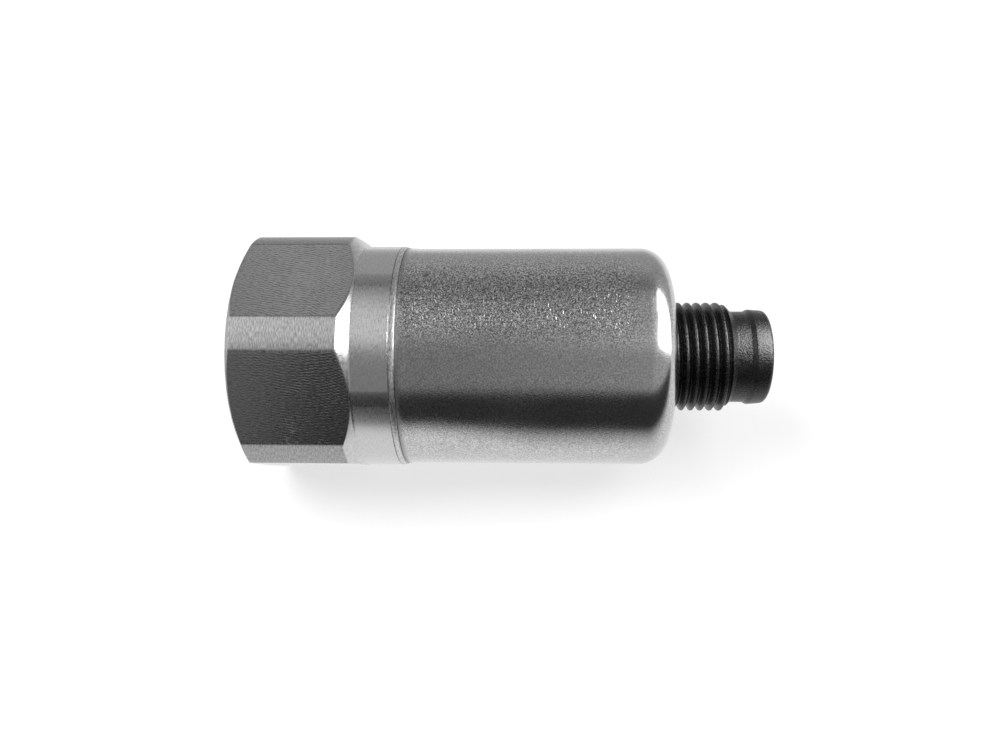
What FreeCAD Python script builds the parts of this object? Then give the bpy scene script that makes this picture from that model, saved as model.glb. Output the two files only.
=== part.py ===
import FreeCAD, Part
import math
import os

from FreeCAD import Vector

# Pressure transmitter: a hexagonal port with a female flare thread and a valve
# opener, a deep-drawn can welded to it, and a four-pin M12 plug.
# X runs along the axis, from the port's end face at the origin to the plug's tip.
# Z is up, and one flat of the hexagon faces straight down.  All sizes are millimetres.

# ---------------------------------------------------------------- port, outside
across_flats = 24.0            # wrench size of the hexagon
flat_depth = 1.0               # how deep the flats are milled into the round bar
end_chamfer_width = 1.5        # taken off the radius at the port's end
end_chamfer_angle = 30.0       # from the end face, in degrees
hexagon_length = 11.15         # end face to the start of the back chamfer
back_chamfer_angle = 45.0      # from the axis, in degrees
neck_relief = 0.11             # how far the neck lies below the flats
neck_length = 3.7              # back chamfer to the shoulder at the weld
spigot_length = 3.04           # the part of the port that the can slides over
spigot_clearance = 0.05
spigot_chamfer = 0.4

# ---------------------------------------------------------------- port, bore
thread_minor_radius = 4.93     # 7/16-20 UNF, inside
countersink_radius = 5.65
countersink_angle = 30.0       # from the end face, in degrees
thread_end = 9.5
undercut_radius = 5.65
undercut_length = 1.5
seat_mouth_radius = 4.4        # wide end of the 45 degree flare seat
passage_radius = 2.3
passage_end = 15.8             # step that the valve depressor seats on
channel_radius = 1.5
cell_recess_depth = 0.4        # recess in the inner face, round the sensor cell

# ---------------------------------------------------------------- valve depressor
depressor_thickness = 2.0
depressor_pin_radius = 0.8
depressor_pin_length = 2.5
depressor_press_gap = 0.01
depressor_slots = 3
depressor_slot_width = 1.1
depressor_hub_radius = 1.0     # what the flow slots leave round the pin

# ---------------------------------------------------------------- sensor cell
cell_flange_radius = 6.5
cell_flange_thickness = 1.2
cell_radius = 4.75
cell_hollow_radius = 3.2
cell_height = 5.3
membrane_thickness = 0.3
cell_clearance = 0.05
film_radius = 4.2
film_thickness = 0.1

# ---------------------------------------------------------------- ring board and wires
ring_board_thickness = 1.0
ring_board_radius = 8.5
ring_board_clearance = 0.1
bond_wire_count = 4
bond_wire_radius = 0.075
bond_pad_radius = 3.6          # where the wires stand on the film
bond_span = 1.9

# ---------------------------------------------------------------- weld and can
weld_width = 0.65
weld_height = 0.07             # how far the bead stands proud of the neck
can_step = 0.24                # the can is this much smaller in radius than the neck
can_lip_flare = 0.08           # the drawn lip is this much wider at the weld
can_lip_length = 1.4
can_wall = 0.6
can_length = 27.59
can_end_flat_radius = 8.7      # flat part of the can's end, inside its rounded shoulder

# ---------------------------------------------------------------- plug
plug_thread_radius = 5.85      # M12 x 1, outside
plug_thread_length = 6.85      # with the chamfer that runs down to the nose
plug_thread_pitch = 1.0
plug_thread_depth = 0.6
plug_thread_crest = 0.2        # width of a ridge at its top
plug_thread_root = 0.1         # width of the groove at its foot
plug_collar_radius = 6.1       # smooth collar in the can's hole
plug_collar_clearance = 0.03
flange_clearance = 0.15        # all round, in the can
flange_land = 2.3              # full width of the flange, behind its bevel
flange_wall = 2.2              # round the pocket, where its floor meets the bevel
insulator_depth = 2.4          # can's end wall to the floor of the pocket
nose_root_radius = 4.9
nose_root_length = 1.5
nose_lip_radius = 5.12
nose_lip_ramp = 0.42
nose_taper_length = 1.23
nose_taper = 0.09              # loss of radius over the taper
nose_tip_length = 0.54
nose_tip_round = 0.46          # loss of radius over the rounded tip
socket_radius = 4.175
socket_depth = 7.5
socket_mouth_chamfer = 0.15
key_width = 1.2
key_height = 0.65
key_setback = 1.0              # from the mouth
pin_radius = 0.5
pin_circle_radius = 2.5
pin_count = 4
pin_recess = 1.5               # tip of a pin below the mouth
pin_tip_length = 0.6
pin_tip_radius = 0.22
pin_collar_radius = 0.8
pin_collar_length = 0.8
pin_tail_overlap = 3.0         # length of a tail over the board

# ---------------------------------------------------------------- seals
seal_circle_radius = 6.85
seal_height = 0.7
seal_width = 0.85
seal_side_clearance = 0.02
pin_seal_thickness = 1.2
pin_seal_clearance = 0.1

# ---------------------------------------------------------------- carrier and boards
sleeve_wall = 0.2
sleeve_clearance = 0.04
sleeve_setback = 0.3           # from the port's face and from the flange
carrier_rim = 1.6              # how far the carrier's wall rises past the ledge
cell_to_carrier = 0.2
rail_depth = 2.5
rail_height = 4.4
slot_depth = 1.5
slot_clearance = 0.05
board_thickness = 1.6
board_stop = 0.6               # carrier's rim to the end of the board
board_side_clearance = 0.1
board_end_clearance = 0.2      # board's shoulders to the flange
board_tongue_inset = 1.1       # from the pocket's wall

# ---------------------------------------------------------------- springs and link
spring_thickness = 0.2
spring_width = 1.8
spring_pocket_clearance = 0.2
spring_pocket_wall = 0.45      # what the pocket leaves of the carrier
link_thickness = 0.15
link_width = 3.0
link_foot = 2.3
link_bend = 1.0
link_rise = 2.6
link_end = 1.8
link_edge = 0.6                # foot's end to the rim of the ring board

# ---------------------------------------------------------------- chips
signal_chip_size = (4.6, 4.6, 0.9)
regulator_chip_size = (4.5, 4.0, 1.5)
capacitor_size = (1.6, 0.8, 0.8)
resistor_size = (1.6, 0.8, 0.45)
diode_size = (2.5, 1.6, 1.1)
terminal_share = 0.22          # length of each metal end of a chip
terminal_proud = 0.03
chip_pitch = 2.6
chip_row_inset = 3.4           # rows of small chips to the board's edge
capacitors_per_row = 3
resistors_per_row = 2
chip_chamfer = 0.2

# ---------------------------------------------------------------- radii outside
FLAT = across_flats / 2
BAR = FLAT + flat_depth
END_FACE = BAR - end_chamfer_width
NECK = FLAT - neck_relief
CAN = NECK - can_step
CAN_LIP = CAN + can_lip_flare
CAN_CORNER = CAN - can_end_flat_radius

# ---------------------------------------------------------------- places along the axis
NECK_START = hexagon_length + (BAR - NECK) / math.tan(math.radians(back_chamfer_angle))
NECK_END = NECK_START + neck_length
CAN_START = NECK_END + weld_width
CAN_END = CAN_START + can_length
INNER_FACE = NECK_END + spigot_length
END_WALL = CAN_END - can_wall
FLANGE_BEVEL = CAN_CORNER - can_wall + flange_clearance
FLANGE_BACK = END_WALL - FLANGE_BEVEL - flange_land
INSULATOR_BACK = END_WALL - insulator_depth
THREAD_TOP = CAN_END + plug_thread_length
THREAD_CHAMFER = THREAD_TOP - (plug_thread_radius - nose_root_radius)
NOSE_LIP = THREAD_TOP + nose_root_length + nose_lip_ramp
NOSE_TIP = NOSE_LIP + nose_taper_length
PLUG_TIP = NOSE_TIP + nose_tip_length
SOCKET_FLOOR = PLUG_TIP - socket_depth
CELL_BASE = INNER_FACE - cell_recess_depth
CELL_TOP = CELL_BASE + cell_height
FILM_TOP = CELL_TOP + film_thickness
LEDGE = FILM_TOP - ring_board_thickness
CARRIER_TOP = LEDGE + carrier_rim
BOARD_START = CARRIER_TOP + board_stop
BOARD_SHOULDER = FLANGE_BACK - board_end_clearance
BOARD_END = INSULATOR_BACK - pin_seal_thickness

# ---------------------------------------------------------------- radii inside the can
CAN_BORE = CAN - can_wall
SPIGOT = CAN_BORE - spigot_clearance
CAN_INNER_CORNER = CAN_CORNER - can_wall
CAN_HOLE = plug_collar_radius + plug_collar_clearance
FLANGE = CAN_BORE - flange_clearance
POCKET = FLANGE - FLANGE_BEVEL + insulator_depth - flange_wall
SLEEVE_OUTSIDE = CAN_BORE - sleeve_clearance
SLEEVE_INSIDE = SLEEVE_OUTSIDE - sleeve_wall
CARRIER = SLEEVE_INSIDE - sleeve_clearance
CARRIER_BORE = cell_flange_radius + cell_to_carrier
RING_SEAT = ring_board_radius + ring_board_clearance
SLOT_BOTTOM = CARRIER - rail_depth + slot_depth
BOARD_HALF = SLOT_BOTTOM - board_side_clearance
BOARD_FACE = board_thickness / 2
CHIP_ROW = BOARD_HALF - chip_row_inset
SPRING_POCKET = CARRIER - spring_pocket_wall

AXIS = Vector(1, 0, 0)
ORIGIN = Vector(0, 0, 0)


def in_plane(point):
    """A profile's point (x, r) as a place in the XZ plane."""
    return Vector(point[0], 0, point[1])


def outline(points):
    """Closed face in the XZ plane.  A pair of points is an arc: a point on it, then its end."""
    edges, here = [], points[0]
    for step in points[1:] + points[:1]:
        if step == here:
            continue
        if isinstance(step[0], tuple):
            on_arc, there = step
            edges.append(Part.Arc(in_plane(here), in_plane(on_arc), in_plane(there)).toShape())
        else:
            there = step
            edges.append(Part.makeLine(in_plane(here), in_plane(there)))
        here = there
    return Part.Face(Part.Wire(edges))


def lathe(points):
    """Solid turned about the X axis from a profile of (x, r) points and arcs."""
    return outline(points).revolve(ORIGIN, AXIS, 360)


def ring(start, end, outer, inner):
    return lathe([(start, inner), (end, inner), (end, outer), (start, outer)])


def rod(start, end, radius):
    return Part.makeCylinder(radius, end - start, Vector(start, 0, 0), AXIS)


def block(start, end, half_width, bottom, top):
    return Part.makeBox(end - start, 2 * half_width, top - bottom,
                        Vector(start, -half_width, bottom))


def turned(shape, degrees):
    """A copy of the shape, turned about the axis."""
    copy = shape.copy()
    copy.rotate(ORIGIN, AXIS, degrees)
    return copy


def moved(shape, x=0.0, y=0.0, z=0.0):
    copy = shape.copy()
    copy.translate(Vector(x, y, z))
    return copy


def all_round(shape, count, first=0.0):
    return [turned(shape, first + 360.0 * k / count) for k in range(count)]


def corner_arc(centre, radius, start, end):
    """Arc step about a centre, between two directions given in degrees from +X towards +r."""
    def at(degrees):
        angle = math.radians(degrees)
        return (centre[0] + radius * math.cos(angle), centre[1] + radius * math.sin(angle))
    return (at((start + end) / 2), at(end))


def strip(corners, bend, thickness, width):
    """Sheet-metal strip along the XZ path through the corners, on the left of the path.

    Every corner is square; bend is the radius on the path itself.
    """
    def side(offset):
        places = []
        for k, (x, z) in enumerate(corners):
            before = corners[max(k - 1, 0)]
            after = corners[min(k + 1, len(corners) - 1)]
            dx = (after[0] > before[0]) - (after[0] < before[0])
            dz = (after[1] > before[1]) - (after[1] < before[1])
            ends_on_z = k in (0, len(corners) - 1) and dx == 0
            ends_on_x = k in (0, len(corners) - 1) and dz == 0
            shift_x = 0 if ends_on_x else -dz * offset
            shift_z = 0 if ends_on_z else dx * offset
            places.append(Vector(x + shift_x, 0, z + shift_z))
        return places

    def rounded(places, offset):
        edges, here = [], places[0]
        for k in range(1, len(places) - 1):
            arrive = (places[k] - places[k - 1]).normalize()
            leave = (places[k + 1] - places[k]).normalize()
            left_turn = arrive.x * leave.z - arrive.z * leave.x > 0
            radius = bend - offset if left_turn else bend + offset
            start = places[k] - arrive * radius
            end = places[k] + leave * radius
            middle = places[k] + (leave - arrive) * radius * (1 - math.sqrt(0.5))
            if (start - here).Length > 1e-6:
                edges.append(Part.makeLine(here, start))
            edges.append(Part.Arc(start, middle, end).toShape())
            here = end
        edges.append(Part.makeLine(here, places[-1]))
        return edges

    near, far = side(0.0), side(thickness)
    edges = rounded(near, 0.0) + [Part.makeLine(near[-1], far[-1])]
    edges += rounded(far, thickness) + [Part.makeLine(far[0], near[0])]
    face = Part.Face(Part.Wire(Part.__sortEdges__(edges)))
    return moved(face.extrude(Vector(0, width, 0)), y=-width / 2)


# ==================================================================== port
def milled_flats():
    """What the cutter removes: everything outside the hexagon, over the hexagon's length."""
    corner = FLAT / math.cos(math.radians(30))
    angles = [math.radians(60 * k) for k in range(7)]
    wire = Part.makePolygon([Vector(-1, corner * math.cos(a), corner * math.sin(a)) for a in angles])
    length = NECK_START + 1
    hexagon = Part.Face(wire).extrude(Vector(length, 0, 0))
    return rod(-1, NECK_START, BAR + 1).cut(hexagon)


def pressure_port():
    end_chamfer = end_chamfer_width * math.tan(math.radians(end_chamfer_angle))
    countersink = (countersink_radius - thread_minor_radius) * math.tan(
        math.radians(countersink_angle))
    seat_start = thread_end + undercut_length
    seat_end = seat_start + seat_mouth_radius - passage_radius
    recess_radius = cell_flange_radius + cell_clearance
    turned_body = lathe([
        (0, countersink_radius),
        (0, END_FACE),
        (end_chamfer, BAR),
        (hexagon_length, BAR),
        (NECK_START, NECK),
        (NECK_END, NECK),
        (NECK_END, SPIGOT),
        (INNER_FACE - spigot_chamfer, SPIGOT),
        (INNER_FACE, SPIGOT - spigot_chamfer),
        (INNER_FACE, recess_radius),
        (CELL_BASE, recess_radius),
        (CELL_BASE, channel_radius),
        (passage_end, channel_radius),
        (passage_end, passage_radius),
        (seat_end, passage_radius),
        (seat_start, seat_mouth_radius),
        (seat_start, undercut_radius),
        (thread_end, undercut_radius),
        (thread_end, thread_minor_radius),
        (countersink, thread_minor_radius),
    ])
    return turned_body.cut(milled_flats())


def valve_depressor():
    """Slotted disc against the passage's step, with the pin that opens the valve."""
    disc_start = passage_end - depressor_thickness
    tip = disc_start - depressor_pin_length
    disc_radius = passage_radius - depressor_press_gap
    round_start = tip + depressor_pin_radius / 2
    insert = lathe([
        (tip, 0),
        ((tip + depressor_pin_radius * 0.15, depressor_pin_radius * 0.75),
         (round_start, depressor_pin_radius)),
        (disc_start, depressor_pin_radius),
        (disc_start, disc_radius),
        (passage_end, disc_radius),
        (passage_end, 0),
    ])
    slot = block(disc_start - 1, passage_end + 1, depressor_slot_width / 2,
                 depressor_hub_radius, passage_radius + 1)
    for cutter in all_round(slot, depressor_slots):
        insert = insert.cut(cutter)
    return insert


# ==================================================================== measuring cell
def sensor_cell():
    flange_top = CELL_BASE + cell_flange_thickness
    return lathe([
        (CELL_BASE, cell_hollow_radius),
        (CELL_BASE, cell_flange_radius),
        (flange_top, cell_flange_radius),
        (flange_top, cell_radius),
        (CELL_TOP, cell_radius),
        (CELL_TOP, 0),
        (CELL_TOP - membrane_thickness, 0),
        (CELL_TOP - membrane_thickness, cell_hollow_radius),
    ])


def gauge_film():
    return rod(CELL_TOP, FILM_TOP, film_radius)


def contact_ring_board():
    return ring(LEDGE, FILM_TOP, ring_board_radius, cell_radius + ring_board_clearance)


def bond_wires():
    """Half loops from the film to the ring board, at 45 degrees to the main board."""
    corners = [math.radians(60 * k) for k in range(7)]
    foot = Part.Face(Part.makePolygon([
        Vector(FILM_TOP, bond_wire_radius * math.sin(a), bond_pad_radius + bond_wire_radius * math.cos(a))
        for a in corners]))
    middle = Vector(FILM_TOP, 0, bond_pad_radius + bond_span / 2)
    loop = foot.revolve(middle, Vector(0, -1, 0), 180)
    return Part.makeCompound(all_round(loop, bond_wire_count, first=45))


def ground_spring():
    """Clip squeezed between the port's face and the ring board, below the axis."""
    inner = -CARRIER_BORE - spring_pocket_clearance
    outer = -SPRING_POCKET + spring_pocket_clearance
    corners = [(INNER_FACE, inner), (INNER_FACE, outer), (LEDGE, outer), (LEDGE, inner)]
    return strip(corners, (LEDGE - INNER_FACE) / 2, spring_thickness, spring_width)


# ==================================================================== weld and can
def weld_seam():
    """Bead between the neck's shoulder and the can's lip, round the spigot."""
    crown = NECK + weld_height
    return lathe([
        (NECK_END, SPIGOT),
        (NECK_END, NECK),
        (((NECK_END + CAN_START) / 2, crown), (CAN_START, CAN_LIP)),
        (CAN_START, SPIGOT),
    ])


def housing_can():
    outer_centre = (CAN_END - CAN_CORNER, can_end_flat_radius)
    inner_centre = (END_WALL - CAN_INNER_CORNER, CAN_BORE - CAN_INNER_CORNER)
    return lathe([
        (CAN_START, CAN_BORE),
        (CAN_START, CAN_LIP),
        (CAN_START + can_lip_length, CAN),
        (outer_centre[0], CAN),
        corner_arc(outer_centre, CAN_CORNER, 90, 0),
        (CAN_END, CAN_HOLE),
        (END_WALL, CAN_HOLE),
        (END_WALL, inner_centre[1]),
        corner_arc(inner_centre, CAN_INNER_CORNER, 0, 90),
    ])


# ==================================================================== plug
def pin_angles():
    return [45 + 360.0 * k / pin_count for k in range(pin_count)]


def contact_pin(angle):
    """Pin with a collar behind the insulator and a tail that reaches over the board."""
    tip = PLUG_TIP - pin_recess
    pin = lathe([
        (BOARD_END - pin_tail_overlap, 0),
        (BOARD_END - pin_tail_overlap, pin_radius),
        (INSULATOR_BACK - pin_collar_length, pin_radius),
        (INSULATOR_BACK - pin_collar_length, pin_collar_radius),
        (INSULATOR_BACK, pin_collar_radius),
        (INSULATOR_BACK, pin_radius),
        (tip - pin_tip_length, pin_radius),
        (tip, pin_tip_radius),
        (tip, 0),
    ])
    return turned(moved(pin, z=pin_circle_radius), angle)


def nose_profile():
    """Outside of the plug past its thread: a neck, a ramp to the nose, and its round tip."""
    lip_end = nose_lip_radius - nose_taper
    tip_middle = (NOSE_TIP + nose_tip_length * 0.7, lip_end - nose_tip_round * 0.3)
    return [
        (THREAD_TOP, nose_root_radius),
        (NOSE_LIP - nose_lip_ramp, nose_root_radius),
        (NOSE_LIP, nose_lip_radius),
        (NOSE_TIP, lip_end),
        (tip_middle, (PLUG_TIP, lip_end - nose_tip_round)),
    ]


def thread_grooves():
    """Grooves between the turns of the thread.  Each is a ring, and the first one is cut
    short by the can's end."""
    half_root = plug_thread_root / 2
    half_mouth = (plug_thread_pitch - plug_thread_crest) / 2
    floor = plug_thread_radius - plug_thread_depth
    clear = plug_thread_radius + 1
    thread = ring(CAN_END, THREAD_TOP, clear, floor - 1)
    grooves = []
    for k in range(int(plug_thread_length / plug_thread_pitch) + 1):
        x = CAN_END + k * plug_thread_pitch
        groove = lathe([
            (x - half_root, floor),
            (x + half_root, floor),
            (x + half_mouth, plug_thread_radius),
            (x + half_mouth, clear),
            (x - half_mouth, clear),
            (x - half_mouth, plug_thread_radius),
        ])
        grooves.append(groove.common(thread))
    return grooves


def connector_body(pins):
    """Moulded plug: pocketed flange, collar, thread, nose, and a socket round the pins."""
    outside = [
        (FLANGE_BACK, 0),
        (FLANGE_BACK, FLANGE),
        (END_WALL - FLANGE_BEVEL, FLANGE),
        (END_WALL, FLANGE - FLANGE_BEVEL),
        (END_WALL, plug_collar_radius),
        (CAN_END, plug_collar_radius),
        (CAN_END, plug_thread_radius),
        (THREAD_CHAMFER, plug_thread_radius),
    ]
    body = lathe(outside + nose_profile() + [(PLUG_TIP, 0)])
    socket = rod(SOCKET_FLOOR, PLUG_TIP, socket_radius)
    key = block(SOCKET_FLOOR, PLUG_TIP - key_setback, key_width / 2,
                socket_radius - key_height, socket_radius + key_height)
    mouth = Part.makeCone(socket_radius, socket_radius + socket_mouth_chamfer,
                          socket_mouth_chamfer,
                          Vector(PLUG_TIP - socket_mouth_chamfer, 0, 0), AXIS)
    pocket = rod(FLANGE_BACK, INSULATOR_BACK, POCKET)
    half_groove = seal_width / 2 + seal_side_clearance
    groove = ring(END_WALL - seal_height, END_WALL, seal_circle_radius + half_groove,
                  seal_circle_radius - half_groove)
    for cutter in [socket.cut(key), mouth, pocket, groove] + thread_grooves() + pins:
        body = body.cut(cutter)
    return body


def flange_seal():
    """Rubber ring, squeezed square between the groove's floor and the can's end wall."""
    return ring(END_WALL - seal_height, END_WALL,
                seal_circle_radius + seal_width / 2, seal_circle_radius - seal_width / 2)


def pin_seal_disc(pins):
    disc = rod(BOARD_END, INSULATOR_BACK, POCKET - pin_seal_clearance)
    for pin in pins:
        disc = disc.cut(pin)
    return disc


def solder_joints(pins):
    """Fillets of solder from the board's faces up round the tails."""
    height = pin_circle_radius * math.cos(math.radians(45)) - BOARD_FACE
    length, width, shrink = pin_tail_overlap * 0.7, pin_radius * 3.2, pin_radius * 0.3
    start = BOARD_END - pin_tail_overlap + 0.4
    joints = []
    for pin, angle in zip(pins, pin_angles()):
        fillet = Part.makeWedge(0, 0, 0, shrink, shrink,
                                length, height, width, width - shrink, length - shrink)
        fillet.rotate(ORIGIN, AXIS, 90)
        side = math.copysign(1, math.cos(math.radians(angle)))
        fillet.translate(Vector(start, width / 2, BOARD_FACE))
        if side < 0:
            fillet.rotate(ORIGIN, AXIS, 180)
        y = -pin_circle_radius * math.sin(math.radians(angle))
        joints.append(moved(fillet, y=y).cut(pin))
    return Part.makeCompound(joints)


# ==================================================================== carrier and boards
def board_carrier():
    """Ring that stands on the port, with a ledge for the ring board and two slotted rails."""
    base = lathe([
        (INNER_FACE, CARRIER_BORE),
        (INNER_FACE, CARRIER),
        (CARRIER_TOP, CARRIER),
        (CARRIER_TOP, RING_SEAT),
        (LEDGE, RING_SEAT),
        (LEDGE, CARRIER_BORE),
    ])
    rails = block(CARRIER_TOP, FLANGE_BACK, CARRIER, -rail_height / 2, rail_height / 2)
    rails = rails.common(ring(CARRIER_TOP, FLANGE_BACK, CARRIER, CARRIER - rail_depth))
    slot_half = BOARD_FACE + slot_clearance
    slot = block(BOARD_START, FLANGE_BACK, SLOT_BOTTOM, -slot_half, slot_half)
    spring_pocket = block(INNER_FACE, LEDGE, spring_width / 2 + spring_pocket_clearance,
                          -SPRING_POCKET, 0)
    return base.fuse(rails).cut(slot).cut(spring_pocket).removeSplitter()


def insulating_sleeve():
    return ring(INNER_FACE + sleeve_setback, FLANGE_BACK - sleeve_setback,
                SLEEVE_OUTSIDE, SLEEVE_INSIDE)


def main_board():
    """Board in the carrier's slots, with a tongue that reaches into the flange's pocket."""
    wide = block(BOARD_START, BOARD_SHOULDER, BOARD_HALF, -BOARD_FACE, BOARD_FACE)
    tongue = block(BOARD_SHOULDER - 1, BOARD_END, POCKET - board_tongue_inset,
                   -BOARD_FACE, BOARD_FACE)
    return wide.fuse(tongue).removeSplitter()


def board_link():
    """Flexible strip that steps down from the ring board to the main board."""
    outer = ring_board_radius - link_edge
    inner = outer - link_foot
    step = FILM_TOP + link_rise
    corners = [(FILM_TOP, outer), (FILM_TOP, inner), (step, inner),
               (step, BOARD_FACE), (step + link_bend + link_end, BOARD_FACE)]
    return strip(corners, link_bend, link_thickness, link_width)


def chip(size, x, y, side):
    """Moulded package with bevelled top edges, on the upper (1) or lower (-1) face."""
    length, width, height = size
    body = Part.makeBox(length, width, height, Vector(-length / 2, -width / 2, 0))
    top = [e for e in body.Edges if e.BoundBox.ZMin > height - 1e-6]
    body = body.makeChamfer(chip_chamfer, top)
    body.translate(Vector(0, 0, BOARD_FACE))
    return moved(body if side > 0 else turned(body, 180), x, y)


def small_chip(size, x, y, side):
    """Ceramic block between two metal ends that stand a little proud of it."""
    length, width, height = size
    cap = length * terminal_share
    body = Part.makeBox(length, width, height, Vector(-length / 2, -width / 2, 0))
    for start in (-length / 2 - terminal_proud, length / 2 - cap):
        body = body.fuse(Part.makeBox(cap + terminal_proud, width + 2 * terminal_proud,
                                      height + terminal_proud,
                                      Vector(start, -width / 2 - terminal_proud, 0)))
    body = body.removeSplitter()
    body.translate(Vector(0, 0, BOARD_FACE))
    return moved(body if side > 0 else turned(body, 180), x, y)


def chip_row(size, per_row, first_x, side):
    chips = [small_chip(size, first_x + chip_pitch * k, y, side)
             for y in (-CHIP_ROW, CHIP_ROW) for k in range(per_row)]
    return Part.makeCompound(chips)


def export(node, shape):
    os.makedirs("parts", exist_ok=True)
    shape.exportStep("parts/" + node + ".step")


def build():
    link_stop = FILM_TOP + link_rise + link_bend + link_end
    signal_x = link_stop + 0.6 + signal_chip_size[0] / 2
    board_middle = (BOARD_START + BOARD_SHOULDER) / 2
    diode_x = BOARD_END - pin_tail_overlap
    pins = [contact_pin(angle) for angle in pin_angles()]
    export("pressure_port", pressure_port())
    export("valve_depressor", valve_depressor())
    export("sensor_cell", sensor_cell())
    export("gauge_film", gauge_film())
    export("contact_ring_board", contact_ring_board())
    export("bond_wires", bond_wires())
    export("ground_spring", ground_spring())
    export("weld_seam", weld_seam())
    export("housing_can", housing_can())
    export("connector_body", connector_body(pins))
    for number, pin in enumerate(pins, 1):
        export("contact_pin_%d" % number, pin)
    export("flange_seal", flange_seal())
    export("pin_seal_disc", pin_seal_disc(pins))
    export("solder_joints", solder_joints(pins))
    export("board_carrier", board_carrier())
    export("insulating_sleeve", insulating_sleeve())
    export("main_board", main_board())
    export("board_link", board_link())
    export("signal_chip", chip(signal_chip_size, signal_x, 0, 1))
    export("regulator_chip", chip(regulator_chip_size, board_middle, 0, -1))
    export("chip_capacitors", chip_row(capacitor_size, capacitors_per_row,
                                       BOARD_START + chip_pitch / 2, 1))
    export("chip_resistors", chip_row(resistor_size, resistors_per_row,
                                      BOARD_START + chip_pitch, -1))
    diodes = [chip(diode_size, diode_x, y, 1) for y in (-CHIP_ROW, CHIP_ROW)]
    export("protection_diodes", Part.makeCompound(diodes))


build()
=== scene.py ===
import math
import random

import bmesh
import bpy
from mathutils import Matrix, Vector


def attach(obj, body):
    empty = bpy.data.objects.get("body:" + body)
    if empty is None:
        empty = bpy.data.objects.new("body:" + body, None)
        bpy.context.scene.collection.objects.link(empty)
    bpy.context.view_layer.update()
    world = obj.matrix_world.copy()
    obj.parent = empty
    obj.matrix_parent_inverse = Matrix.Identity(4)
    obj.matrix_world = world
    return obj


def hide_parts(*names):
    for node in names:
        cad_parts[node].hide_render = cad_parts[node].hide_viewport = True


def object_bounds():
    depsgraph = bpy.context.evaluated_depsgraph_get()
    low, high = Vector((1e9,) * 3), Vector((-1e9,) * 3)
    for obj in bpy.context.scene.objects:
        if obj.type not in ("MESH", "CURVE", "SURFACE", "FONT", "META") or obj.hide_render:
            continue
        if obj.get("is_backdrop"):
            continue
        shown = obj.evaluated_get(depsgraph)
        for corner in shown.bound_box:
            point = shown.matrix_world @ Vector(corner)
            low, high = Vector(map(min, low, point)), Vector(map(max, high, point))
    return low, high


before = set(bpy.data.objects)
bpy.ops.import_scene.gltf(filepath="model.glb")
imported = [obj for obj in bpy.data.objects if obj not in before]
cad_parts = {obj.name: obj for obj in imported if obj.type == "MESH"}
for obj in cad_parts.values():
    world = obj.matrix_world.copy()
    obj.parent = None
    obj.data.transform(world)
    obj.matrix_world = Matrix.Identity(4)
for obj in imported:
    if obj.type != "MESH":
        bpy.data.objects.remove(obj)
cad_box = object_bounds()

# Pressure transmitter.  Lengths are millimetres until a mesh is made, and angles round
# the axis start at straight up (+Z) and grow towards +Y.
MM = 0.001
TURN = 2 * math.pi

# ---------------------------------------------------------------- port
FLAT = 12.0
BAR = 13.0
END_FACE = 11.5
END_CHAMFER = 0.866
HEXAGON_END = 11.15
NECK = 11.89
NECK_START = 12.26
NECK_END = 15.96
SPIGOT = 11.0
INNER_FACE = 19.0
CELL_RECESS = 6.55
CELL_BASE = 18.6
CHANNEL = 1.5
PASSAGE = 2.3
PASSAGE_END = 15.8
SEAT_END = 13.1
SEAT_START = 11.0
SEAT_MOUTH = 4.4
UNDERCUT = 5.65
BORE_THREAD_END = 9.5
BORE_MINOR = 4.93
BORE_MAJOR = 5.56
BORE_PITCH = 1.27
COUNTERSINK = 5.65
EDGE_ROUND = 0.03              # scale of the rounding between the flats and the turned faces

# ---------------------------------------------------------------- weld and can
CAN_START = 16.61
CAN_LIP = 11.73
CAN_LIP_END = 18.01
CAN = 11.65
CAN_CORNER = 2.95
CAN_END = 44.2
CAN_WALL = 0.6
CAN_HOLE = 6.13
WELD_CROWN = 0.07

# ---------------------------------------------------------------- plug
FLANGE_BACK = 38.8
FLANGE = 10.9
FLANGE_BEVEL = 2.5
POCKET = 8.6
INSULATOR_BACK = 41.2
SEAL_GROOVE = (6.405, 7.295)
SEAL_DEPTH = 0.7
COLLAR = 6.1
CREST = 5.85
ROOT = 5.22
PITCH = 1.0
CREST_PHASE = 0.66             # place of a crest at the top, as a share of the pitch
THREAD_END = 51.05
NOSE_ROOT = 4.9
NOSE_RAMP = 52.55
NOSE_LIP = 52.97
NOSE_LIP_RADIUS = 5.12
NOSE_END = 54.2
NOSE_END_RADIUS = 5.03
NOSE_TIP_RADIUS = 4.57
SOCKET = 4.175
SOCKET_FLOOR = 47.24
PLUG_TIP = 54.74
MOUTH_CHAMFER = 0.15
KEY_START = 53.74
KEY_HALF = 0.6
KEY_TOP = 3.525
PIN_RADIUS = 0.5
PIN_CIRCLE = 2.5
PIN_TIP = 53.24
PIN_TAIL = 37.0
PIN_TAIL_RADIUS = 0.42
PIN_TAIL_CHAMFER = 0.08
PIN_COLLAR = 0.8
PIN_COLLAR_START = 40.4

SHARP_EDGE = math.radians(32)   # edges that turn by more than this stay sharp
COLUMNS = 180
EVEN = [TURN * k / COLUMNS for k in range(COLUMNS)]


# ==================================================================== meshes
def circle(x, radius, angles=EVEN):
    return [(x, radius * math.sin(a), radius * math.cos(a)) for a in angles]


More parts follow.
